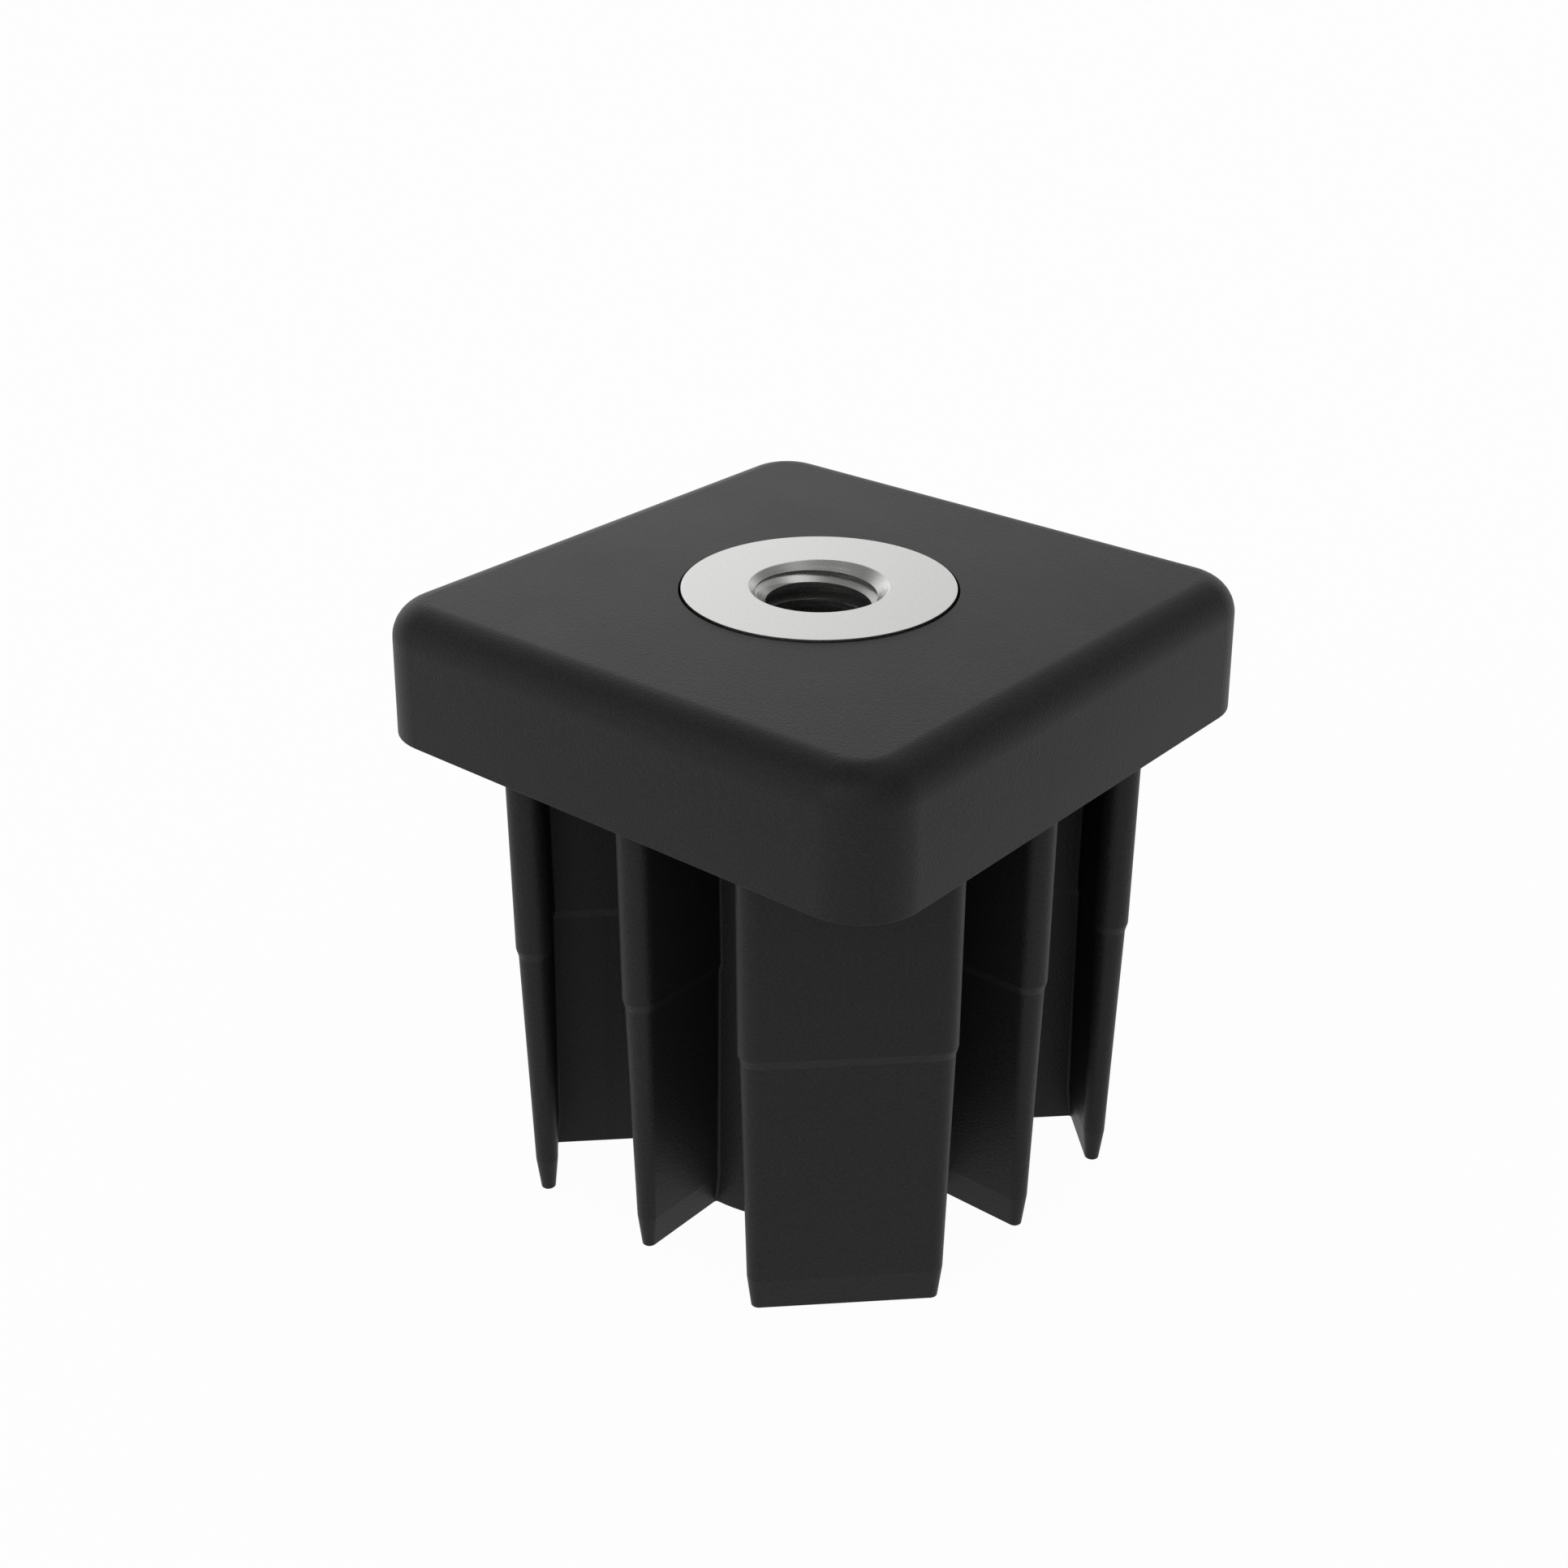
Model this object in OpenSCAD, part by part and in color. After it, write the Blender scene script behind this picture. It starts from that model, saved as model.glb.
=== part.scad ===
// Threaded insert for the end of a square tube.
// A black moulded plug fills the tube's end, and a steel bushing in its head takes the
// threaded stud of a levelling foot or a castor. The part stands on the end of its shank:
// the origin is the centre of that end, and +Z runs up the thread's axis, out of the head.

/* [Tube] */
// Outside width of the square tube, which the head covers
tube_w = 50; // [47:0.5:60]
// Wall of the tube
tube_wall = 2; // [1.5:0.1:2.5]
// Gap between the shank and the tube's inside, on each side
tube_gap = 0.25; // [0.1:0.05:0.5]

/* [Head] */
// Height of the head above the tube's end
head_h = 10.9; // [8:0.1:16]
// Radius of the head's upright corners, at its underside
corner_r = 5.1; // [4.6:0.1:8]
// Radius of the rounded edge round the top face
top_fillet_r = 2.95; // [1:0.05:4]
// How far the head's sides lean in from the underside to the rounded edge
head_draft = 0.2; // [0:0.05:0.4]

/* [Shank] */
// Length of the shank below the head
shank_len = 39.9; // [34:0.1:46]
// Diameter of the round hub
hub_d = 27.6; // [26:0.1:30]
// Thickness of ribs, webs and corner plates above the step
rib_t = 2.95; // [2.7:0.05:3.5]
// Length of a corner plate, over its round ends
plate_len = 16.5; // [12:0.1:20]
// Distance from the head down to the step
step_below_head = 16.3; // [8:0.1:20]
// Height of the step
step_h = 0.75; // [0.4:0.05:1.5]
// Depth of the step, on each side of a rib
step_in = 0.19; // [0.1:0.01:0.25]
// Draft of each side below the step, in degrees
draft_deg = 1.06; // [0.5:0.01:1.2]
// Height of the lead-in at the end of the shank
lead_h = 2.9; // [1.5:0.1:5]
// Depth of the lead-in, on each side of a rib
lead_in = 0.32; // [0.1:0.01:0.4]

/* [Bushing] */
// Nominal diameter of the thread
thread_d = 10; // [8:0.5:10.5]
// Pitch of the thread
thread_pitch = 1.5; // [1:0.25:1.5]
// Diameter of the chamfered mouth of the thread
mouth_d = 10.95; // [10.7:0.05:12]
// Diameter of the flange
flange_d = 21.5; // [19:0.1:26]
// Thickness of the flange
flange_t = 2.2; // [1.5:0.1:4]
// How far the flange stands proud of the head
flange_proud = 0.15; // [0:0.05:0.5]
// Gap round the flange in its recess
flange_gap = 0.2; // [0.1:0.05:0.4]
// Length of the bushing, flange included
bushing_len = 20; // [16:0.5:26]
// Diameter of the bore through the plug, which the knurled shank fills
bore_d = 16; // [14:0.1:18]
// Teeth round the knurl
knurl_teeth = 40; // [24:1:48]
// Depth of the knurl's teeth
knurl_depth = 0.5; // [0.2:0.05:0.7]
// Width of the plain groove below the flange, between the knurls and past them
groove_w = 2; // [1:0.1:2.5]
// Depth of the groove below the roots of the teeth
groove_depth = 0.3; // [0.1:0.05:0.5]
// Chamfer on the edges of the bushing's ends
bushing_chamfer = 0.5; // [0.2:0.05:0.8]
// Chamfer on the rim of the flange
rim_chamfer = 0.12; // [0.05:0.01:0.3]

/* [Hidden] */
$fn = 96;

// The tooth tips of the knurl keep this much clear of the bore
knurl_gap = 0.02;
// A cut passes this far beyond the solid that it opens
cut_past = 1;
// A part that is fused to another reaches this far into it
fuse = 1;
// A 60 degree thread takes this share of its pitch off the nominal diameter, down to the hole
hole_per_pitch = 1.0825;

// Heights
total_h = shank_len + head_h;
step_top_z = shank_len - step_below_head;
step_foot_z = step_top_z - step_h;

// Half thickness of a rib from the head down: above the step, at its foot, at the lead-in, at the end
half_top = rib_t / 2;
half_step = half_top - step_in;
half_lead = half_step - (step_foot_z - lead_h) * tan(draft_deg);
half_end = half_lead - lead_in;
half_web_end = half_step - step_foot_z * tan(draft_deg);

// Every rib and plate ends in a half round whose axis stands upright. The axes lie on one square.
reach = tube_w / 2 - tube_wall - tube_gap;
end_axis = reach - half_top;
plate_half = plate_len / 2 - half_top;
plate_dist = end_axis * sqrt(2) - plate_half;

// Head: its corners turn about upright axes on a square
corner_axis = tube_w / 2 - corner_r;
corner_top_r = corner_r - head_draft;

// Bushing: from the top of the flange down
bushing_top = total_h + flange_proud;
flange_foot = bushing_top - flange_t;
bushing_foot = bushing_top - bushing_len;
hole_d = thread_d - hole_per_pitch * thread_pitch;
knurl_r = bore_d / 2 - knurl_gap;
knurl_root_r = knurl_r - knurl_depth;
groove_r = knurl_root_r - groove_depth;
knurl_h = (bushing_len - flange_t - 3 * groove_w) / 2;

// Half of a rib's cross-section, from the axis out. It leans in step by step towards the end.
// A diagonal web has no lead-in, because its plate meets the tube first.
function half_section(has_lead_in) = concat(
    [[0, 0]],
    has_lead_in ? [[half_end, 0], [half_lead, lead_h]] : [[half_web_end, 0]],
    [
        [half_step, step_foot_z],
        [half_top, step_top_z],
        [half_top, shank_len + fuse],
        [0, shank_len + fuse],
    ]
);

// A straight wall along X, centred on the origin
module wall(length, has_lead_in) {
    rotate([90, 0, 90])
        linear_extrude(length, center = true)
            for (side = [0, 1])
                mirror([side, 0])
                    polygon(half_section(has_lead_in));
}

// A wall with a half round at each end, which keeps the wall's draft, step and lead-in
module round_ended_wall(length) {
    wall(length, true);
    for (side = [0, 1])
        mirror([side, 0, 0])
            translate([length / 2, 0, 0])
                rotate([0, 0, -90])
                    rotate_extrude(angle = 180)
                        polygon(half_section(true));
}

// Two walls cross through the hub and reach the middles of the tube's four sides
module ribs() {
    for (turn = [0, 90])
        rotate([0, 0, turn])
            round_ended_wall(2 * end_axis);
}

// Two thinner-ended webs cross on the diagonals, and each ends in the middle of a corner plate
module webs_and_corner_plates() {
    for (turn = [45, 135])
        rotate([0, 0, turn])
            wall(2 * plate_dist, false);
    for (turn = [45 : 90 : 315])
        rotate([0, 0, turn])
            translate([plate_dist, 0, 0])
                rotate([0, 0, 90])
                    round_ended_wall(2 * plate_half);
}

// Section of the head outside its corner axes: a side that leans in, and a rounded top edge
module head_section() {
    difference() {
        polygon([
            [0, shank_len],
            [corner_r, shank_len],
            [corner_top_r, total_h - top_fillet_r],
            [corner_top_r, total_h],
            [0, total_h],
        ]);
        translate([corner_top_r - top_fillet_r, total_h - top_fillet_r])
            difference() {
                square(top_fillet_r + cut_past);
                circle(top_fillet_r);
            }
    }
}

module head_block() {
    translate([-corner_axis, -corner_axis, shank_len])
        cube([2 * corner_axis, 2 * corner_axis, head_h]);
    for (turn = [0 : 90 : 270])
        rotate([0, 0, turn])
            translate([corner_axis, 0, 0]) {
                rotate([90, 0, 0])
                    linear_extrude(2 * corner_axis, center = true)
                        head_section();
                translate([0, corner_axis, 0])
                    rotate_extrude(angle = 90)
                        head_section();
            }
}

// The bore goes right through, so that a long stud can pass the bushing. The recess seats the flange.
module bushing_seat() {
    translate([0, 0, -cut_past])
        cylinder(d = bore_d, h = total_h + 2 * cut_past);
    translate([0, 0, flange_foot])
        cylinder(d = flange_d + 2 * flange_gap, h = total_h - flange_foot + cut_past);
}

module plug() {
    color([0.10, 0.10, 0.11])
        difference() {
            union() {
                head_block();
                cylinder(d = hub_d, h = shank_len + fuse);
                ribs();
                webs_and_corner_plates();
            }
            bushing_seat();
        }
}

// One band of straight teeth with pointed tips, bitten into the plug's bore
module knurl_band() {
    step = 360 / knurl_teeth;
    linear_extrude(knurl_h)
        polygon([
            for (i = [0 : knurl_teeth - 1])
                for (point = [[knurl_r, i * step], [knurl_root_r, (i + 0.5) * step]])
                    point[0] * [cos(point[1]), sin(point[1])]
        ]);
}

module bushing_blank() {
    rotate_extrude()
        polygon([
            [0, bushing_foot],
            [groove_r - bushing_chamfer, bushing_foot],
            [groove_r, bushing_foot + bushing_chamfer],
            [groove_r, flange_foot],
            [flange_d / 2, flange_foot],
            [flange_d / 2, bushing_top - rim_chamfer],
            [flange_d / 2 - rim_chamfer, bushing_top],
            [0, bushing_top],
        ]);
    for (band = [0, 1])
        translate([0, 0, bushing_foot + groove_w + band * (knurl_h + groove_w)])
            knurl_band();
}

// The hole has the thread's inner diameter. Its mouth and its far end are chamfered at 45 degrees.
module threaded_hole() {
    mouth_depth = (mouth_d - hole_d) / 2;
    exit_r = hole_d / 2 + bushing_chamfer;
    rotate_extrude()
        polygon([
            [0, bushing_foot - cut_past],
            [exit_r + cut_past, bushing_foot - cut_past],
            [hole_d / 2, bushing_foot + bushing_chamfer],
            [hole_d / 2, bushing_top - mouth_depth],
            [mouth_d / 2 + cut_past, bushing_top + cut_past],
            [0, bushing_top + cut_past],
        ]);
}

module bushing() {
    color([0.80, 0.81, 0.82])
        difference() {
            bushing_blank();
            threaded_hole();
        }
}

plug();
bushing();
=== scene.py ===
# %% [markdown]
# # A threaded insert for the end of a square tube
#
# The real part has two pieces: a plug that is moulded in black nylon, and a turned steel
# bushing that is pressed into its head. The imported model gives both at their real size. This
# lesson models them again with the small roundings, the grain and the screw thread that a
# photograph shows, and lights them as on a white table.

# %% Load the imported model
import math

import bmesh
import bpy
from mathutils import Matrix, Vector


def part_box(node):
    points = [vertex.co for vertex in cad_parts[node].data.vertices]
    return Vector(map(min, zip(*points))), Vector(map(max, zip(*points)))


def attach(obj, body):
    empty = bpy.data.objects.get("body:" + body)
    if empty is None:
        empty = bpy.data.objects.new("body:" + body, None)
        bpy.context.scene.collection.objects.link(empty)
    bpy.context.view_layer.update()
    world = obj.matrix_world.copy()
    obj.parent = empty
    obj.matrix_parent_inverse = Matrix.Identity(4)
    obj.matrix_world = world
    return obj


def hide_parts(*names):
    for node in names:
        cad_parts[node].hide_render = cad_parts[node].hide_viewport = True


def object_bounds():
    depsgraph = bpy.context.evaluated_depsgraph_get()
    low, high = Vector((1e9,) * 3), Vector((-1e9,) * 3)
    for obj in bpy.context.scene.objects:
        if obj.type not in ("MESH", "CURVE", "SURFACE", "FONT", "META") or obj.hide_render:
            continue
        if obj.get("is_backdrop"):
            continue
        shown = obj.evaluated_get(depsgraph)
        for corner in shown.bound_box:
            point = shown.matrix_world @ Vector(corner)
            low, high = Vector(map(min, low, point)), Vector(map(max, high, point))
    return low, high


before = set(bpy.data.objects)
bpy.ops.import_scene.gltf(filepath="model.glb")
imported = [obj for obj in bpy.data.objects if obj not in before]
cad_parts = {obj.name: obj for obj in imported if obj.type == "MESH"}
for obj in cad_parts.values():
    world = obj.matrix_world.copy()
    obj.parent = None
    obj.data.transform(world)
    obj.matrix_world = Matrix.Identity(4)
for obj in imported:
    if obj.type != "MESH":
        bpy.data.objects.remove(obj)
cad_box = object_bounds()

MM = 0.001
SAME = 1e-7  # places closer than this, in metres, are one place
print("packed nodes:", sorted(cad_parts))

# %% [markdown]
# ## Helpers for modelling
#
# An operator acts on whatever is selected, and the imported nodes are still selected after
# loading. So each helper clears the selection first and then picks what it needs by its place.


# %% Helpers for selecting and editing
def start_editing(piece):
    """Only this piece is selected, in edit mode, with nothing selected on it."""
    if bpy.context.object and bpy.context.object.mode == "EDIT":
        bpy.ops.object.mode_set(mode="OBJECT")
    bpy.ops.object.select_all(action="DESELECT")
    piece.select_set(True)
    bpy.context.view_layer.objects.active = piece
    bpy.ops.object.mode_set(mode="EDIT")
    bpy.ops.mesh.select_mode(type="VERT")
    bpy.ops.mesh.select_all(action="DESELECT")
    return bmesh.from_edit_mesh(piece.data)


def stop_editing():
    bpy.ops.object.mode_set(mode="OBJECT")
    return bpy.context.object


def apply_modifier(piece, kind, **settings):
    bpy.ops.object.select_all(action="DESELECT")
    piece.select_set(True)
    bpy.context.view_layer.objects.active = piece
    bpy.ops.object.modifier_add(type=kind)
    modifier = piece.modifiers[-1]
    for name, value in settings.items():
        setattr(modifier, name, value)
    bpy.ops.object.modifier_apply(modifier=modifier.name)


def count_open_edges(piece):
    """How many edges don't have exactly two faces. A closed piece has none."""
    mesh = bmesh.new()
    mesh.from_mesh(piece.data)
    count = sum(len(edge.link_faces) != 2 for edge in mesh.edges)
    mesh.free()
    return count


# %% [markdown]
# ## Camera
#
# The photograph looks down on the part at 27 degrees, from 40 degrees round its front. The
# camera turns on the middle of the head's top face, steps back, and then slides sideways and
# down in its own plane, so the whole part sits in the square frame.

# %% Camera at the photograph's viewing angle
VIEW_AZIMUTH = math.radians(39.993)
VIEW_ELEVATION = math.radians(26.992)
VIEW_DISTANCE = 169.177 * MM
SLIDE_RIGHT = -2.721 * MM
SLIDE_UP = -15.304 * MM
HEAD_TOP = 50.8 * MM

back = Vector(
    (
        math.sin(VIEW_AZIMUTH) * math.cos(VIEW_ELEVATION),
        -math.cos(VIEW_AZIMUTH) * math.cos(VIEW_ELEVATION),
        math.sin(VIEW_ELEVATION),
    )
)
right = Vector((math.cos(VIEW_AZIMUTH), math.sin(VIEW_AZIMUTH), 0))
up = back.cross(right)
bpy.ops.object.camera_add(
    location=Vector((0, 0, HEAD_TOP)) + back * VIEW_DISTANCE + right * SLIDE_RIGHT + up * SLIDE_UP,
    rotation=(math.pi / 2 - VIEW_ELEVATION, 0, VIEW_AZIMUTH),
)
camera = bpy.context.object
camera.name = "photo_camera"
camera.data.lens = 50
camera.data.sensor_width = 36
camera.data.clip_start = 0.01
camera.data.clip_end = 20
bpy.context.scene.camera = camera
print("camera at", [round(c, 4) for c in camera.location])

# %% [markdown]
# ## The plug's skin, ring by ring
#
# Every cut across the shank has the same outline: a round hub, four ribs, and four diagonal
# webs that each end in a plate. Only the thickness changes on the way down, where the walls
# lean in so that the part leaves its mould. So the outline is worked out once, for any
# thickness, and a circle with as many points as the outline is drawn up ring by ring.
# Booleans of separate walls would be quicker to write, but they leave no clean strip for the
# small hollow roundings in the corners, and those catch the light on the real part.

# %% Sizes of the plug
HEAD_FOOT = 39.9 * MM
CORNER_AXIS = 19.9 * MM
CORNER_R = 5.1 * MM
HEAD_DRAFT = 0.2 * MM
TOP_FILLET_R = 2.95 * MM
HUB_R = 13.8 * MM
RIB_AXIS = 21.275 * MM
PLATE_HALF = 6.775 * MM
PLATE_DIST = RIB_AXIS * math.sqrt(2) - PLATE_HALF
BORE_R = 8 * MM
RECESS_R = 10.95 * MM
RECESS_FLOOR = 48.75 * MM
ROOT_R = 0.25 * MM
EDGE_R = 0.1 * MM
RIM_R = 0.03 * MM

# How many pieces each arc is drawn in
TIP_STEPS = 8
ROOT_STEPS = 5
PLATE_END_STEPS = 16
HUB_STEPS = 12
CORNER_STEPS = 12
FILLET_STEPS = 14
BORE_STEPS = 144


# %% Helper for arcs
def arc(centre, radius, start, end, steps):
    """Points on an arc, from one angle to the other in degrees, ends included."""
    angles = [math.radians(start + (end - start) * i / steps) for i in range(steps + 1)]
    return [(centre[0] + radius * math.cos(a), centre[1] + radius * math.sin(a)) for a in angles]


# %% [markdown]
# One eighth of the outline is enough. It starts at the tip of the rib on the X axis and ends in
# the middle of the corner plate. The diagonal web and its plate are drawn along X too, on the
# side below it, and turned up by 45 degrees. A mirror copy makes the quarter, and four quarters
# go round the axis.


# %% Outline of the shank
def rib_side(half, hub_r, root_r):
    """From the rib's tip along its side to the hub."""
    root_x = math.sqrt((hub_r + root_r) ** 2 - (half + root_r) ** 2)
    lean = math.degrees(math.atan2(half + root_r, root_x))
    tip = arc((RIB_AXIS, 0), half, 0, 90, TIP_STEPS)
    root = arc((root_x, half + root_r), root_r, 270, 180 + lean, ROOT_STEPS)
    return tip + root, lean


def web_and_plate(half, half_web, hub_r, root_r):
    """From the hub along the web's side and round half the plate. The web lies along X."""
    root_x = math.sqrt((hub_r + root_r) ** 2 - (half_web + root_r) ** 2)
    lean = math.degrees(math.atan2(half_web + root_r, root_x))
    hub_root = arc((root_x, -half_web - root_r), root_r, 180 - lean, 90, ROOT_STEPS)
    corner = (PLATE_DIST - half - root_r, -half_web - root_r)
    plate_root = arc(corner, root_r, 90, 0, ROOT_STEPS)
    plate_end = arc((PLATE_DIST, -PLATE_HALF), half, 180, 360, PLATE_END_STEPS)
    return hub_root + plate_root + plate_end + [(PLATE_DIST + half, 0)], lean


def turned(points, degrees):
    c, s = math.cos(math.radians(degrees)), math.sin(math.radians(degrees))
    return [(c * x - s * y, s * x + c * y) for x, y in points]


def shank_outline(half, half_web, hub_r=HUB_R, root_r=ROOT_R):
    rib, rib_lean = rib_side(half, hub_r, root_r)
    web, web_lean = web_and_plate(half, half_web, hub_r, root_r)
    hub = arc((0, 0), hub_r, rib_lean, 45 - web_lean, HUB_STEPS)[1:-1]
    eighth = rib + hub + turned(web, 45)
    quarter = eighth + [(y, x) for x, y in reversed(eighth[1:-1])]
    return [point for turn in range(4) for point in turned(quarter, 90 * turn)]


# %% Helper that draws a circle up through rings
def at_height(outline, height):
    return [Vector((x, y, height)) for x, y in outline]


def skin_through(name, rings):
    """A skin through rings of points. Each ring is the one before, extruded and put in place."""
    bpy.ops.object.select_all(action="DESELECT")
    bpy.ops.mesh.primitive_circle_add(vertices=len(rings[0]), radius=HUB_R)
    skin = bpy.context.object
    skin.name = name
    bpy.ops.object.mode_set(mode="EDIT")
    mesh = bmesh.from_edit_mesh(skin.data)
    number = mesh.verts.layers.int.new("number")
    for i, vertex in enumerate(mesh.verts):
        vertex[number] = i
    for level, ring in enumerate(rings):
        if level:
            bpy.ops.mesh.extrude_region_move(TRANSFORM_OT_translate={"value": (0, 0, MM)})
            mesh = bmesh.from_edit_mesh(skin.data)
            number = mesh.verts.layers.int["number"]
        for vertex in mesh.verts:
            if vertex.select:
                vertex.co = ring[vertex[number]]
    stop_editing()
    print(name, "has", len(skin.data.polygons), "faces")
    return skin


# %% [markdown]
# The shank's levels run from its end up to the head. It has a lead-in at the end, then walls
# that grow thicker by about one degree, then a small step. The diagonal webs have no lead-in,
# because their plates meet the tube first. The last rings flare out into the head's underside,
# as the radius of a mould's edge does.

# %% Shank
# Half of the walls' thickness at each level
half_top, half_step, half_lead, half_end = 1.475 * MM, 1.285 * MM, 0.9159 * MM, 0.5959 * MM
half_web_end = 0.8622 * MM
lead_top, step_foot, step_top = 2.9 * MM, 22.85 * MM, 23.6 * MM
web_slope = (half_step - half_web_end) / step_foot
half_web_lead = half_web_end + web_slope * lead_top
end_edge = EDGE_R / 2
end_outline = shank_outline(half_end - end_edge, half_web_end - end_edge, HUB_R - end_edge)
print("points in one ring of the shank:", len(end_outline))

shank_rings = [
    at_height(end_outline, 0),
    at_height(shank_outline(half_end, half_web_end), end_edge),
    at_height(shank_outline(half_lead, half_web_lead), lead_top),
    at_height(shank_outline(half_step, half_step), step_foot),
    at_height(shank_outline(half_top, half_top), step_top),
]
flare_r, flare_steps = 0.2 * MM, 4
for x, z in arc((flare_r, HEAD_FOOT - flare_r), flare_r, 180, 90, flare_steps):
    half = half_top + x
    shank_rings.append(at_height(shank_outline(half, half, HUB_R + x, ROOT_R - x), z))
shank = skin_through("plug_moulding", shank_rings)


# %% [markdown]
# The head is the same kind of skin. Its outline is a square whose corners turn about four
# upright axes. The sides lean in a little, and the top edge rolls over in a quarter of a circle.


# %% Head
def head_outline(inset):
    """The head's outline, moved in by so much from its widest."""
    corner = arc((CORNER_AXIS, CORNER_AXIS), CORNER_R - inset, 0, 90, CORNER_STEPS)
    return [point for turn in range(4) for point in turned(corner, 90 * turn)]


fillet_foot = HEAD_TOP - TOP_FILLET_R
foot_steps = 3
head_rings = [
    at_height(head_outline(EDGE_R + x), HEAD_FOOT + EDGE_R + z)
    for x, z in arc((0, 0), EDGE_R, 270, 180, foot_steps)
]
head_rings += [
    at_height(head_outline(HEAD_DRAFT + TOP_FILLET_R - x), fillet_foot + z)
    for x, z in arc((0, 0), TOP_FILLET_R, 0, 90, FILLET_STEPS)
]
head = skin_through("head_skin", head_rings)

# %% [markdown]
# Inside, the bore runs right through the plug, and the head has a round recess for the
# bushing's flange. The recess has a rim that is broken by a tiny radius.


# %% Bore and recess
def round_outline(radius):
    return arc((0, 0), radius, 0, 360, BORE_STEPS)[:-1]


rim_steps = 2
bore_rings = [
    at_height(round_outline(BORE_R + EDGE_R), 0),
    at_height(round_outline(BORE_R), EDGE_R),
    at_height(round_outline(BORE_R), RECESS_FLOOR),
    at_height(round_outline(RECESS_R), RECESS_FLOOR),
]
bore_rings += [
    at_height(round_outline(RECESS_R + RIM_R + x), HEAD_TOP - RIM_R + z)
    for x, z in arc((0, 0), RIM_R, 180, 90, rim_steps)
]
bore = skin_through("bore_skin", bore_rings)

# %% [markdown]
# The three skins are joined. What is still open are three flat faces, each with a hole: the end
# of the shank, the underside of the head and its top. Fill closes the area between the two
# rings at one height.

# %% Close the plug
bpy.ops.object.select_all(action="DESELECT")
for skin in (head, bore, shank):
    skin.select_set(True)
bpy.context.view_layer.objects.active = shank
bpy.ops.object.join()
plug = bpy.context.object

for height in (0, HEAD_FOOT, HEAD_TOP):
    mesh = start_editing(plug)
    bpy.ops.mesh.select_mode(type="EDGE")
    for edge in mesh.edges:
        if edge.is_boundary and all(abs(v.co.z - height) < SAME for v in edge.verts):
            edge.select_set(True)
    bmesh.update_edit_mesh(plug.data)
    bpy.ops.mesh.fill(use_beauty=True)
bpy.ops.mesh.select_all(action="SELECT")
bpy.ops.mesh.normals_make_consistent(inside=False)
stop_editing()
print("plug: faces", len(plug.data.polygons), "open edges", count_open_edges(plug))

# %% [markdown]
# The rounded strips are shaded smooth and the hard corners stay hard. The step and the lead-in
# bend by only a few degrees, so their edges are marked sharp, or the smoothing would wipe them
# out. Beside a narrow strip, a wide flat wall would take on a false curve, so the
# Weighted Normal modifier lets the wider face decide how its edge is shaded.


# %% Helper for shading
def shade(piece, angle=30):
    bpy.ops.object.select_all(action="DESELECT")
    piece.select_set(True)
    bpy.context.view_layer.objects.active = piece
    bpy.ops.object.shade_smooth_by_angle(angle=math.radians(angle))
    apply_modifier(piece, "WEIGHTED_NORMAL", mode="FACE_AREA", weight=50, keep_sharp=True)


mesh = start_editing(plug)
for edge in mesh.edges:
    for height in (lead_top, step_foot, step_top):
        if all(abs(v.co.z - height) < SAME for v in edge.verts):
            edge.select_set(True)
bmesh.update_edit_mesh(plug.data)
bpy.ops.mesh.mark_sharp()
stop_editing()
shade(plug)

# %% [markdown]
# ## The bushing's blank
#
# A lathe turns the bushing from a bar: a flat flange, a shank with grooves, and a cone at each
# end of the hole. Half of its section is drawn as a chain of edges and spun round the axis. The
# cones run deeper than the hole, so the thread cut later leaves nothing of their flat ends.

# %% Sizes of the bushing
BUSHING_TOP = 50.95 * MM
BUSHING_FOOT = 30.95 * MM
FLANGE_FOOT = 48.75 * MM
FLANGE_R = 10.75 * MM
GROOVE_R = 7.18 * MM
KNURL_R = 7.98 * MM
KNURL_ROOT_R = 7.48 * MM
KNURL_H = 5.9 * MM
GROOVE_W = 2 * MM
MOUTH_R = 5.475 * MM
EXIT_R = 4.688 * MM
CHAMFER = 0.5 * MM
RIM = 0.02 * MM
CONE_END_R = 3 * MM
THREAD_R = 5 * MM
PITCH = 1.5 * MM
# A standard thread's hole is 1.0825 pitches narrower than the screw
HOLE_R = THREAD_R - 1.0825 * PITCH / 2
TURN_STEPS = 160
KNURL_TEETH = 40


# %% Helper that draws a chain of edges
def draw_chain(name, points):
    """A chain through points (radius, height). One vertex is extruded from each to the next."""
    bpy.ops.object.select_all(action="DESELECT")
    bpy.ops.mesh.primitive_plane_add(size=MM)
    chain = bpy.context.object
    chain.name = name
    bpy.ops.object.mode_set(mode="EDIT")
    bpy.ops.mesh.select_mode(type="VERT")
    bpy.ops.mesh.merge(type="CENTER")
    here = Vector((0, 0, 0))
    for number, (radius, height) in enumerate(points):
        there = Vector((radius, 0, height))
        step = {"value": there - here}
        if number:
            bpy.ops.mesh.extrude_region_move(TRANSFORM_OT_translate=step)
        else:
            bpy.ops.transform.translate(**step)
        here = there
    stop_editing()
    return chain


# %% Turn the blank
def knurl_band(foot):
    """The section of one band, from its upper edge down."""
    top = foot + KNURL_H
    return [(GROOVE_R, top), (KNURL_R, top), (KNURL_R, foot), (GROOVE_R, foot)]


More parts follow.
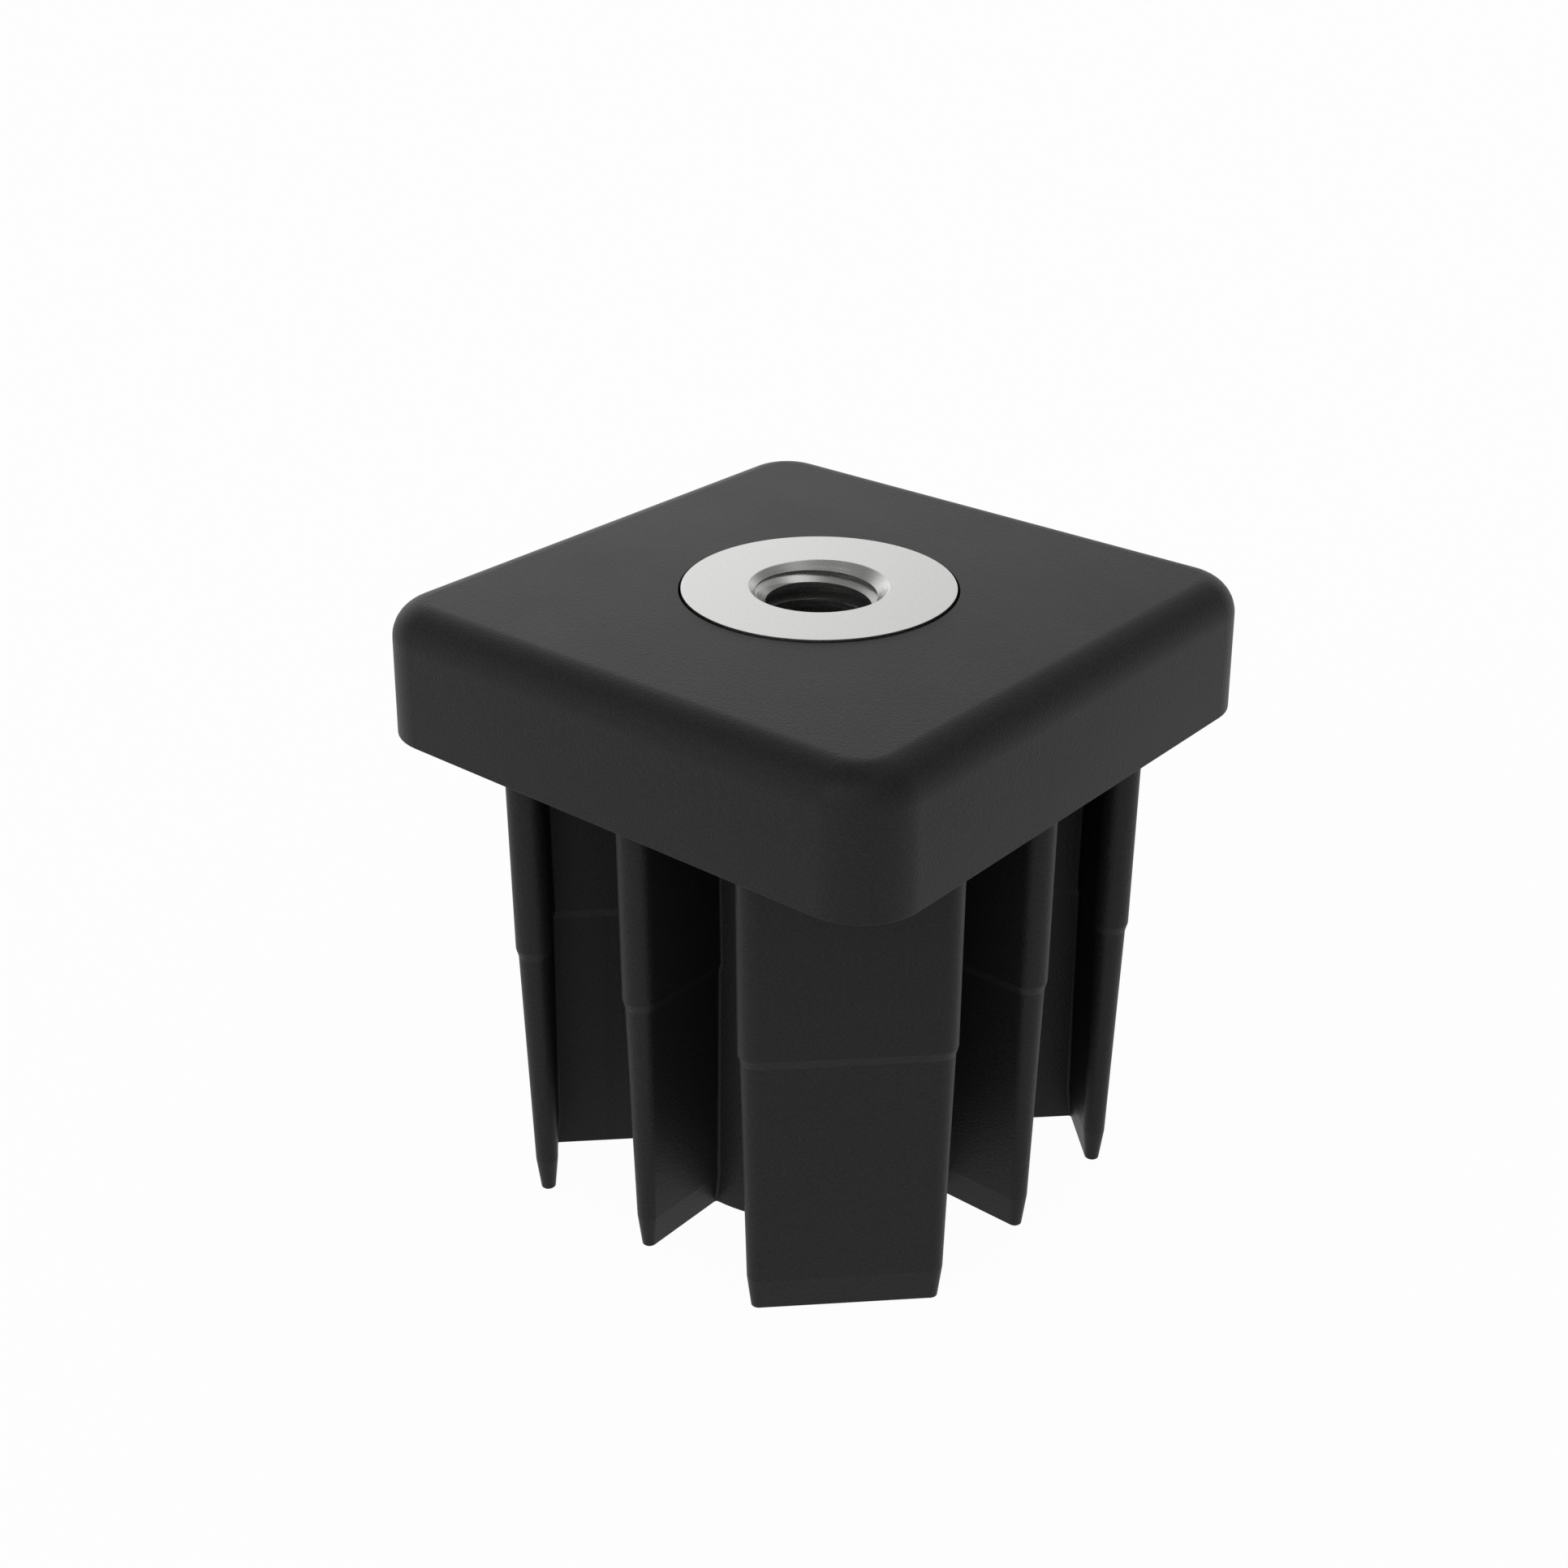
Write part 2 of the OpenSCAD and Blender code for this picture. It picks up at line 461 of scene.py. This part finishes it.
lower_band = BUSHING_FOOT + GROOVE_W
upper_band = lower_band + KNURL_H + GROOVE_W
soft = 0.04 * MM
blank_section = [
    (0, BUSHING_TOP - (MOUTH_R - CONE_END_R)),
    (CONE_END_R, BUSHING_TOP - (MOUTH_R - CONE_END_R)),
    (MOUTH_R - soft, BUSHING_TOP - soft),
    (MOUTH_R + soft, BUSHING_TOP),
    (FLANGE_R - RIM, BUSHING_TOP),
    (FLANGE_R, BUSHING_TOP - RIM),
    (FLANGE_R, FLANGE_FOOT),
    (GROOVE_R, FLANGE_FOOT),
    *knurl_band(upper_band),
    *knurl_band(lower_band),
    (GROOVE_R, BUSHING_FOOT + CHAMFER),
    (GROOVE_R - CHAMFER, BUSHING_FOOT),
    (EXIT_R, BUSHING_FOOT),
    (CONE_END_R, BUSHING_FOOT + EXIT_R - CONE_END_R),
    (0, BUSHING_FOOT + EXIT_R - CONE_END_R),
]
bushing = draw_chain("threaded_bushing", blank_section)
start_editing(bushing)
bpy.ops.mesh.select_all(action="SELECT")
bpy.ops.mesh.spin(steps=TURN_STEPS, angle=2 * math.pi, center=(0, 0, 0), axis=(0, 0, 1))
bpy.ops.mesh.select_all(action="SELECT")
bpy.ops.mesh.remove_doubles(threshold=SAME)
bpy.ops.mesh.normals_make_consistent(inside=False)
stop_editing()
print("blank: faces", len(bushing.data.polygons), "open edges", count_open_edges(bushing))

# %% [markdown]
# The knurl bites into the plug's bore and keeps the bushing from turning. On the spun band every
# tooth has four upright lines: its tip, its root, and one on each flank. The lines that aren't
# tips are scaled in towards the axis.

# %% Press the knurl
lines_per_tooth = TURN_STEPS // KNURL_TEETH
tooth_angle = 2 * math.pi / KNURL_TEETH
tip = Vector((KNURL_R, 0))
root = KNURL_ROOT_R * Vector((math.cos(tooth_angle / 2), math.sin(tooth_angle / 2)))
flank_r = ((tip + root) / 2).length
line_radius = {1: flank_r, 2: KNURL_ROOT_R, 3: flank_r}
for line, radius in line_radius.items():
    mesh = start_editing(bushing)
    for vertex in mesh.verts:
        if abs(vertex.co.xy.length - KNURL_R) < 10 * SAME:
            turn = math.atan2(vertex.co.y, vertex.co.x) / (2 * math.pi) * TURN_STEPS
            vertex.select_set(round(turn) % lines_per_tooth == line)
    bmesh.update_edit_mesh(bushing.data)
    scale = radius / KNURL_R
    bpy.ops.transform.resize(value=(scale, scale, 1), center_override=(0, 0, 0))
stop_editing()

# %% [markdown]
# ## The screw thread
#
# A tap cuts the thread, and the same is done here. One tooth's edge is drawn, and the Screw
# modifier winds it up round the axis, one pitch for each turn. Cut flat at both ends, it is a
# closed tap. Taken out of the blank with a Boolean, it leaves the true run-out where the first
# turn meets the cone of the mouth, which no bump texture could give.

# %% Wind the tap
CREST_W = PITCH / 4
ROOT_W = PITCH / 8
FLANK_H = (PITCH - CREST_W - ROOT_W) / 2
TAP_STEPS = 128
TAP_SPARE = 3 * MM
TAP_PAST_ENDS = MM
# The first crest's upper edge, on the side of the hole that faces the camera
CREST_EDGE = HEAD_TOP - 1.25 * MM
crest_side = math.radians(130)

tap_foot = CREST_EDGE - PITCH * crest_side / (2 * math.pi) - CREST_W
turns_below = math.ceil((tap_foot - BUSHING_FOOT + TAP_SPARE) / PITCH)
turns_above = math.ceil((BUSHING_TOP + TAP_SPARE - tap_foot) / PITCH)
tap_foot -= turns_below * PITCH
tooth = [
    (HOLE_R, tap_foot),
    (HOLE_R, tap_foot + CREST_W),
    (THREAD_R, tap_foot + CREST_W + FLANK_H),
    (THREAD_R, tap_foot + CREST_W + FLANK_H + ROOT_W),
    (HOLE_R, tap_foot + PITCH),
]
tap = draw_chain("tap", tooth)
apply_modifier(
    tap,
    "SCREW",
    axis="Z",
    screw_offset=PITCH,
    iterations=turns_below + turns_above,
    steps=TAP_STEPS,
    render_steps=TAP_STEPS,
)
start_editing(tap)
bpy.ops.mesh.select_all(action="SELECT")
bpy.ops.mesh.remove_doubles(threshold=10 * SAME)
for height, direction in ((BUSHING_FOOT - TAP_PAST_ENDS, -1), (BUSHING_TOP + TAP_PAST_ENDS, 1)):
    bpy.ops.mesh.select_all(action="SELECT")
    bpy.ops.mesh.bisect(
        plane_co=(0, 0, height),
        plane_no=(0, 0, direction),
        use_fill=True,
        clear_outer=True,
        threshold=SAME,
    )
bpy.ops.mesh.select_all(action="SELECT")
bpy.ops.mesh.normals_make_consistent(inside=False)
stop_editing()
print("tap: faces", len(tap.data.polygons), "open edges", count_open_edges(tap))

# %% [markdown]
# The cone of the mouth and the thread's flank below it meet at a bend of only 15 degrees. So
# the bushing is shaded smooth only over bends of less than 10 degrees, or the two would run
# into each other.

# %% Cut the thread
apply_modifier(bushing, "BOOLEAN", operation="DIFFERENCE", object=tap, solver="EXACT")
bpy.data.objects.remove(tap)
shade(bushing, angle=10)
print("bushing: faces", len(bushing.data.polygons), "open edges", count_open_edges(bushing))

# %% [markdown]
# ## Grain
#
# Both finishes have a fine, even grain: the leathery texture of a spark-eroded mould on the
# plastic, and a satin tumbling on the steel. So the grain is one group of shader nodes, placed
# in each material with its own size. It gives a height, which makes the bump and darkens the
# pits as painted shade, and a mottling that varies the gloss: in broad clouds on the plastic,
# and finely on the steel, which sparkles.


# %% Node group for grain
def add_node(tree, kind, **settings):
    node = tree.nodes.new(kind)
    for name, value in settings.items():
        setattr(node, name, value)
    return node


grain_group = bpy.data.node_groups.new("fine_grain", "ShaderNodeTree")
grain_group.interface.new_socket("Grain Scale", in_out="INPUT", socket_type="NodeSocketFloat")
grain_group.interface.new_socket("Mottle Scale", in_out="INPUT", socket_type="NodeSocketFloat")
grain_group.interface.new_socket("Height", in_out="OUTPUT", socket_type="NodeSocketFloat")
grain_group.interface.new_socket("Mottle", in_out="OUTPUT", socket_type="NodeSocketFloat")

values_in = add_node(grain_group, "NodeGroupInput")
values_out = add_node(grain_group, "NodeGroupOutput")
place = add_node(grain_group, "ShaderNodeTexCoord")
pits = add_node(grain_group, "ShaderNodeTexNoise")
pits.inputs["Detail"].default_value = 3
pits.inputs["Roughness"].default_value = 0.55
mottle = add_node(grain_group, "ShaderNodeTexNoise")
mottle.inputs["Detail"].default_value = 2
link = grain_group.links.new
link(place.outputs["Object"], pits.inputs["Vector"])
link(place.outputs["Object"], mottle.inputs["Vector"])
link(values_in.outputs["Grain Scale"], pits.inputs["Scale"])
link(values_in.outputs["Mottle Scale"], mottle.inputs["Scale"])
link(pits.outputs["Fac"], values_out.inputs["Height"])
link(mottle.outputs["Fac"], values_out.inputs["Mottle"])


# %% Helper for a grained material with painted shade in its pits
PIT, CREST = 0.3, 0.7  # how high the grain's pits and crests are


def grain_and_pit_shade_material(name, grain_size, mottle_size, dark, light, smooth, rough, bump_depth):
    """The grain gives the bump and paints shade in the pits. The mottle varies the roughness."""
    material = bpy.data.materials.new(name)
    material.use_nodes = True
    tree = material.node_tree
    shader = tree.nodes["Principled BSDF"]
    grain = add_node(tree, "ShaderNodeGroup", node_tree=grain_group)
    grain.inputs["Grain Scale"].default_value = 1 / grain_size
    grain.inputs["Mottle Scale"].default_value = 1 / mottle_size
    # Painted shade: the lower the grain lies in a pit, the darker its colour
    pit_shade = add_node(tree, "ShaderNodeMapRange")
    pit_shade.inputs["From Min"].default_value = PIT
    pit_shade.inputs["From Max"].default_value = CREST
    colour = add_node(tree, "ShaderNodeMix", data_type="RGBA")
    colour.inputs["A"].default_value = (*dark, 1)
    colour.inputs["B"].default_value = (*light, 1)
    gloss = add_node(tree, "ShaderNodeMapRange")
    gloss.inputs["To Min"].default_value = smooth
    gloss.inputs["To Max"].default_value = rough
    bump = add_node(tree, "ShaderNodeBump")
    bump.inputs["Distance"].default_value = bump_depth
    tree.links.new(grain.outputs["Height"], pit_shade.inputs["Value"])
    tree.links.new(pit_shade.outputs["Result"], colour.inputs["Factor"])
    tree.links.new(grain.outputs["Mottle"], gloss.inputs["Value"])
    tree.links.new(grain.outputs["Height"], bump.inputs["Height"])
    tree.links.new(colour.outputs["Result"], shader.inputs["Base Color"])
    tree.links.new(gloss.outputs["Result"], shader.inputs["Roughness"])
    tree.links.new(bump.outputs["Normal"], shader.inputs["Normal"])
    return material, shader


# %% [markdown]
# ## Finishes
#
# The nylon is a deep black with a low sheen. Looked at from the side it turns grey, because
# at a shallow angle even a matt surface mirrors the white room. The steel is satin, with no
# colour of its own but a trace of warmth.

# %% Black moulded nylon
black_nylon, shader = grain_and_pit_shade_material(
    "black_nylon",
    grain_size=0.215 * MM,
    mottle_size=9 * MM,
    dark=(0.0095, 0.0095, 0.0096),
    light=(0.0175, 0.0175, 0.0176),
    smooth=0.44,
    rough=0.5,
    bump_depth=0.037 * MM,
)
shader.inputs["Specular IOR Level"].default_value = 0.185
plug.data.materials.append(black_nylon)

# %% Satin steel
satin_steel, shader = grain_and_pit_shade_material(
    "satin_steel",
    grain_size=0.09 * MM,
    mottle_size=0.1 * MM,
    dark=(0.515, 0.515, 0.507),
    light=(0.565, 0.565, 0.557),
    smooth=0.25,
    rough=0.31,
    bump_depth=0.008 * MM,
)
shader.inputs["Metallic"].default_value = 1
bushing.data.materials.append(satin_steel)

# %% [markdown]
# Below its first turn the thread is painted darker, as shade for the little light that gets down
# a narrow hole, and there the fine lines that the tap has left round the hole show most. Both need
# two measures of a point in the piece: how far it is from the axis, and how deep it lies.

# %% Painted shade: darker steel inside the hole
HOLE_FADES = (THREAD_R + 0.4 * MM, THREAD_R + 0.1 * MM)
DEEP_FADES = (HEAD_TOP - 1.25 * MM, HEAD_TOP - 2.3 * MM)
# Painted shade: the steel's colour deep in the hole, where little light gets down
SHADED_HOLE_STEEL = (0.38, 0.38, 0.375, 1)

tree = satin_steel.node_tree
place = add_node(tree, "ShaderNodeTexCoord")
parts = add_node(tree, "ShaderNodeSeparateXYZ")
level = add_node(tree, "ShaderNodeCombineXYZ")
from_axis = add_node(tree, "ShaderNodeVectorMath", operation="LENGTH")
in_hole = add_node(tree, "ShaderNodeMapRange")
deep = add_node(tree, "ShaderNodeMapRange", interpolation_type="SMOOTHSTEP")
shade_in_hole = add_node(tree, "ShaderNodeMath", operation="MULTIPLY")
hole_shade = add_node(tree, "ShaderNodeMix", data_type="RGBA")
in_hole.inputs["From Min"].default_value, in_hole.inputs["From Max"].default_value = HOLE_FADES
deep.inputs["From Min"].default_value, deep.inputs["From Max"].default_value = DEEP_FADES
hole_shade.inputs["B"].default_value = SHADED_HOLE_STEEL
tree.links.new(place.outputs["Object"], parts.inputs[0])
tree.links.new(parts.outputs["X"], level.inputs["X"])
tree.links.new(parts.outputs["Y"], level.inputs["Y"])
tree.links.new(parts.outputs["Z"], deep.inputs["Value"])
tree.links.new(level.outputs[0], from_axis.inputs[0])
tree.links.new(from_axis.outputs["Value"], in_hole.inputs["Value"])
tree.links.new(in_hole.outputs[0], shade_in_hole.inputs[0])
tree.links.new(deep.outputs[0], shade_in_hole.inputs[1])
tree.links.new(shade_in_hole.outputs[0], hole_shade.inputs["Factor"])
tree.links.new(shader.inputs["Base Color"].links[0].from_socket, hole_shade.inputs["A"])
tree.links.new(hole_shade.outputs["Result"], shader.inputs["Base Color"])

# %% Lines of the tap
LINE_W = 0.25 * MM
LINE_HEIGHTS = (3, 9)  # near the mouth and deep down, as multiples of the grain's height

upright = add_node(tree, "ShaderNodeCombineXYZ")
lines = add_node(tree, "ShaderNodeTexNoise")
lines.inputs["Scale"].default_value = 1 / LINE_W
height = add_node(tree, "ShaderNodeMapRange")
height.inputs["To Min"].default_value, height.inputs["To Max"].default_value = LINE_HEIGHTS
deeper = add_node(tree, "ShaderNodeMath", operation="MULTIPLY")
relief = add_node(tree, "ShaderNodeMath", operation="MULTIPLY_ADD")
bump = shader.inputs["Normal"].links[0].from_node
tree.links.new(parts.outputs["Z"], upright.inputs["Z"])
tree.links.new(upright.outputs[0], lines.inputs["Vector"])
tree.links.new(deep.outputs[0], height.inputs["Value"])
tree.links.new(lines.outputs["Fac"], deeper.inputs[0])
tree.links.new(height.outputs[0], deeper.inputs[1])
tree.links.new(deeper.outputs[0], relief.inputs[0])
tree.links.new(in_hole.outputs[0], relief.inputs[1])
tree.links.new(bump.inputs["Height"].links[0].from_socket, relief.inputs[2])
tree.links.new(relief.outputs[0], bump.inputs["Height"])

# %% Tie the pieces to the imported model
for piece, node, slot in ((plug, "plug", "plug_plastic"), (bushing, "bushing", "bushing_steel")):
    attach(piece, "root")
    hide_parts(node)
    low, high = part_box(node)
    print(piece.name, "stands for", node, "which is", [round(c / MM, 2) for c in high - low], "mm")

# %% [markdown]
# ## Table and light
#
# The photograph has a white ground with no horizon. The floor is a pale matt sheet that the
# camera and the reflections see as almost pure white, and the rest of what it shows is its own
# shading, so the part keeps a faint shadow. Far from the part it fades into the room, so a low
# view shows no hard horizon. Seen from below, the sheet lets the light through, so the part's
# foot can be looked at. It lies a hair below the part, since two faces in one plane would
# flicker.


# %% Helper for what the camera sees
def seen_or_mirrored(tree):
    """One where a ray comes from the camera, a reflection or a clear body, and zero elsewhere."""
    path = add_node(tree, "ShaderNodeLightPath")
    first = add_node(tree, "ShaderNodeMath", operation="MAXIMUM")
    both = add_node(tree, "ShaderNodeMath", operation="MAXIMUM")
    tree.links.new(path.outputs["Is Camera Ray"], first.inputs[0])
    tree.links.new(path.outputs["Is Glossy Ray"], first.inputs[1])
    tree.links.new(first.outputs[0], both.inputs[0])
    tree.links.new(path.outputs["Is Transmission Ray"], both.inputs[1])
    return both.outputs[0]


# %% Floor
FLOOR_SIZE = 8
FLOOR_FADES = (1.1, 3.6)
FLOOR_DROP = 0.02 * MM
FLOOR_GREY = (0.85, 0.85, 0.85, 1)
WHITE_SHARE = 0.97

bpy.ops.object.select_all(action="DESELECT")
bpy.ops.mesh.primitive_plane_add(size=FLOOR_SIZE, location=(0, 0, -FLOOR_DROP))
floor = bpy.context.object
floor.name = "floor"
floor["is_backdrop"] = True

pale_floor = bpy.data.materials.new("pale_floor")
pale_floor.use_nodes = True
tree = pale_floor.node_tree
tree.nodes.clear()
output = add_node(tree, "ShaderNodeOutputMaterial")
matt = add_node(tree, "ShaderNodeBsdfDiffuse")
matt.inputs["Color"].default_value = FLOOR_GREY
white = add_node(tree, "ShaderNodeEmission")
share = add_node(tree, "ShaderNodeMath", operation="MULTIPLY")
share.inputs[1].default_value = WHITE_SHARE
sheet = add_node(tree, "ShaderNodeMixShader")
tree.links.new(seen_or_mirrored(tree), share.inputs[0])
tree.links.new(share.outputs[0], sheet.inputs["Fac"])
tree.links.new(matt.outputs[0], sheet.inputs[1])
tree.links.new(white.outputs[0], sheet.inputs[2])

# %% Fade the floor far away and from below
place = add_node(tree, "ShaderNodeTexCoord")
from_part = add_node(tree, "ShaderNodeVectorMath", operation="LENGTH")
far = add_node(tree, "ShaderNodeMapRange", interpolation_type="SMOOTHSTEP")
far.inputs["From Min"].default_value, far.inputs["From Max"].default_value = FLOOR_FADES
side = add_node(tree, "ShaderNodeNewGeometry")
see_through = add_node(tree, "ShaderNodeMath", operation="MAXIMUM")
clear = add_node(tree, "ShaderNodeBsdfTransparent")
whole_floor = add_node(tree, "ShaderNodeMixShader")
tree.links.new(place.outputs["Object"], from_part.inputs[0])
tree.links.new(from_part.outputs["Value"], far.inputs["Value"])
tree.links.new(far.outputs["Result"], see_through.inputs[0])
tree.links.new(side.outputs["Backfacing"], see_through.inputs[1])
tree.links.new(see_through.outputs[0], whole_floor.inputs["Fac"])
tree.links.new(sheet.outputs[0], whole_floor.inputs[1])
tree.links.new(clear.outputs[0], whole_floor.inputs[2])
tree.links.new(whole_floor.outputs[0], output.inputs["Surface"])
floor.data.materials.append(pale_floor)

# %% [markdown]
# The light comes from a studio room. Its walls are pale near the horizon and turn to the grey
# of the ceiling above, and a few large soft patches are added, each with a direction, a width
# and a strength. The patches behind the part show in its level top and in the flange. A softbox
# to the left of the camera gives the sides their light. A patch also shows in the steel as a
# mirror image, so what is left dark between the patches shapes the thread as much as the light
# does.

# %% World
CEILING = 0.28
WALL = 0.5  # what the walls add to the ceiling's grey
WALL_FADES = (0.14, 0.47)  # sines of the elevations between which the wall turns to ceiling
SOFT_PATCHES = (
    # azimuth, elevation, half width in degrees, strength
    (208, 15, 40, 0.3),
    (246, 15, 42, 0.75),
    (220, 45, 35, 0.1),
    (352, 30, 27, 1.9),
    (42, 40, 25, 1.05),
    (100, 62, 20, 0.3),
    (170, 66, 18, 1.1),
)


def towards(azimuth, elevation):
    """A direction. Azimuth 0 is in front of the part, and 90 is to its right."""
    a, e = math.radians(azimuth), math.radians(elevation)
    return Vector((math.sin(a) * math.cos(e), -math.cos(a) * math.cos(e), math.sin(e)))


world = bpy.data.worlds.new("studio_room")
bpy.context.scene.world = world
world.use_nodes = True
tree = world.node_tree
tree.nodes.clear()
output = add_node(tree, "ShaderNodeOutputWorld")
room = add_node(tree, "ShaderNodeBackground")
room.inputs["Color"].default_value = (1, 1, 1, 1)
direction = add_node(tree, "ShaderNodeTexCoord")
parts = add_node(tree, "ShaderNodeSeparateXYZ")
walls = add_node(tree, "ShaderNodeMapRange", interpolation_type="SMOOTHSTEP")
walls.inputs["From Min"].default_value, walls.inputs["From Max"].default_value = WALL_FADES
walls.inputs["To Min"].default_value = CEILING + WALL
walls.inputs["To Max"].default_value = CEILING
tree.links.new(direction.outputs["Generated"], parts.inputs[0])
tree.links.new(parts.outputs["Z"], walls.inputs["Value"])
light_so_far = walls.outputs["Result"]
for azimuth, elevation, half_width, strength in SOFT_PATCHES:
    facing = add_node(tree, "ShaderNodeVectorMath", operation="DOT_PRODUCT")
    facing.inputs[1].default_value = towards(azimuth, elevation)
    glow = add_node(tree, "ShaderNodeMapRange", interpolation_type="SMOOTHSTEP")
    glow.inputs["From Min"].default_value = math.cos(math.radians(half_width))
    glow.inputs["From Max"].default_value = 1
    glow.inputs["To Max"].default_value = strength
    both = add_node(tree, "ShaderNodeMath", operation="ADD")
    tree.links.new(direction.outputs["Generated"], facing.inputs[0])
    tree.links.new(facing.outputs["Value"], glow.inputs["Value"])
    tree.links.new(light_so_far, both.inputs[0])
    tree.links.new(glow.outputs["Result"], both.inputs[1])
    light_so_far = both.outputs[0]
tree.links.new(light_so_far, room.inputs["Strength"])
tree.links.new(room.outputs[0], output.inputs["Surface"])

# %% [markdown]
# ## Finish
#
# The sizes of the imported model and of the dressed one are put side by side and printed.

# %% Colour management and sizes
bpy.context.scene.view_settings.view_transform = "Standard"
dressed_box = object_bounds()
sizes = {
    "cad": [list(corner) for corner in cad_box],
    "visual": [list(corner) for corner in dressed_box],
}
for name, (low, high) in sizes.items():
    print(name, [round((b - a) / MM, 2) for a, b in zip(low, high)], "mm")
